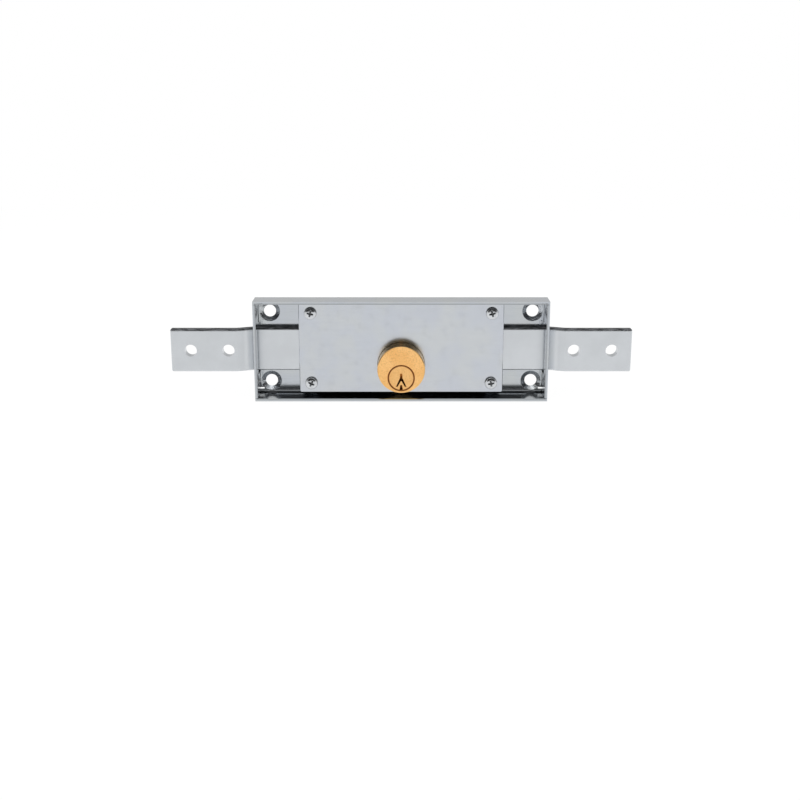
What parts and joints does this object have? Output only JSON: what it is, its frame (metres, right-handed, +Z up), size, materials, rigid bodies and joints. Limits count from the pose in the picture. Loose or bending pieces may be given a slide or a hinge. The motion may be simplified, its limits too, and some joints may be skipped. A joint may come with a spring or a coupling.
{
  "type": "roller shutter lock",
  "caption": "Surface lock for a roller shutter: a flat folded steel case with an eccentric brass key cylinder that drives two cranked, drilled bars out of its ends.",
  "frame": {"origin": "centre of the four fixing holes, on the back face of the case", "axes": "+X to the right along the bars, -Y out of the front towards the key, +Z up"},
  "size_m": [0.244, 0.02, 0.054],
  "materials": {
    "case_steel": "zinc plated, satin",
    "cover_steel": "zinc plated, bright",
    "bar_steel": "zinc plated, satin",
    "gear_steel": "machined",
    "screw_steel": "zinc plated, bright",
    "spring_steel": "drawn wire",
    "brass": "turned, satin"
  },
  "bodies": {
    "lock_case": {"case": "case_steel", "cover_plate": "cover_steel", "cylinder_body": "brass", "idler_axle": "gear_steel", "cover_screws": "screw_steel", "cylinder_screws": "screw_steel", "cover_pillar_1": "gear_steel", "cover_pillar_2": "gear_steel", "cover_pillar_3": "gear_steel", "cover_pillar_4": "gear_steel", "guide_pin_1": "gear_steel", "guide_pin_2": "gear_steel", "guide_pin_3": "gear_steel", "guide_pin_4": "gear_steel", "driver_pin_1": "brass", "driver_pin_2": "brass", "driver_pin_3": "brass", "driver_pin_4": "brass", "pin_spring_1": "spring_steel", "pin_spring_2": "spring_steel", "pin_spring_3": "spring_steel", "pin_spring_4": "spring_steel", "chamber_plug_1": "brass", "chamber_plug_2": "brass", "chamber_plug_3": "brass", "chamber_plug_4": "brass"},
    "key_plug": {"cylinder_plug": "brass", "drive_pinion": "gear_steel", "pinion_screw": "screw_steel", "key_pin_1": "brass", "key_pin_2": "brass", "key_pin_3": "brass", "key_pin_4": "brass"},
    "right_bolt": {"right_bolt": "bar_steel"},
    "left_bolt": {"left_bolt": "bar_steel"},
    "idler": {"idler_gear": "gear_steel"}
  },
  "joints": [
    {"name": "plug_turn", "type": "hinge", "parent": "lock_case", "child": "key_plug", "pos_m": [0, -0.012, -0.0127], "axis": [0, 1, 0], "range_deg": [0, 372]},
    {"name": "idler_turn", "type": "hinge", "parent": "lock_case", "child": "idler", "pos_m": [0, -0.0035, 0.001], "axis": [0, 1, 0], "range_deg": [-372, 0]},
    {"name": "right_bolt_slide", "type": "slide", "parent": "lock_case", "child": "right_bolt", "axis": [1, 0, 0], "range_m": [0, 0.0254]},
    {"name": "left_bolt_slide", "type": "slide", "parent": "lock_case", "child": "left_bolt", "axis": [-1, 0, 0], "range_m": [0, 0.026]}
  ],
  "couplings": [
    {"joint": "plug_turn", "follows": "right_bolt_slide", "rad_per_m": 250},
    {"joint": "idler_turn", "follows": "right_bolt_slide", "rad_per_m": -250},
    {"joint": "left_bolt_slide", "follows": "right_bolt_slide", "ratio": 1}
  ]
}
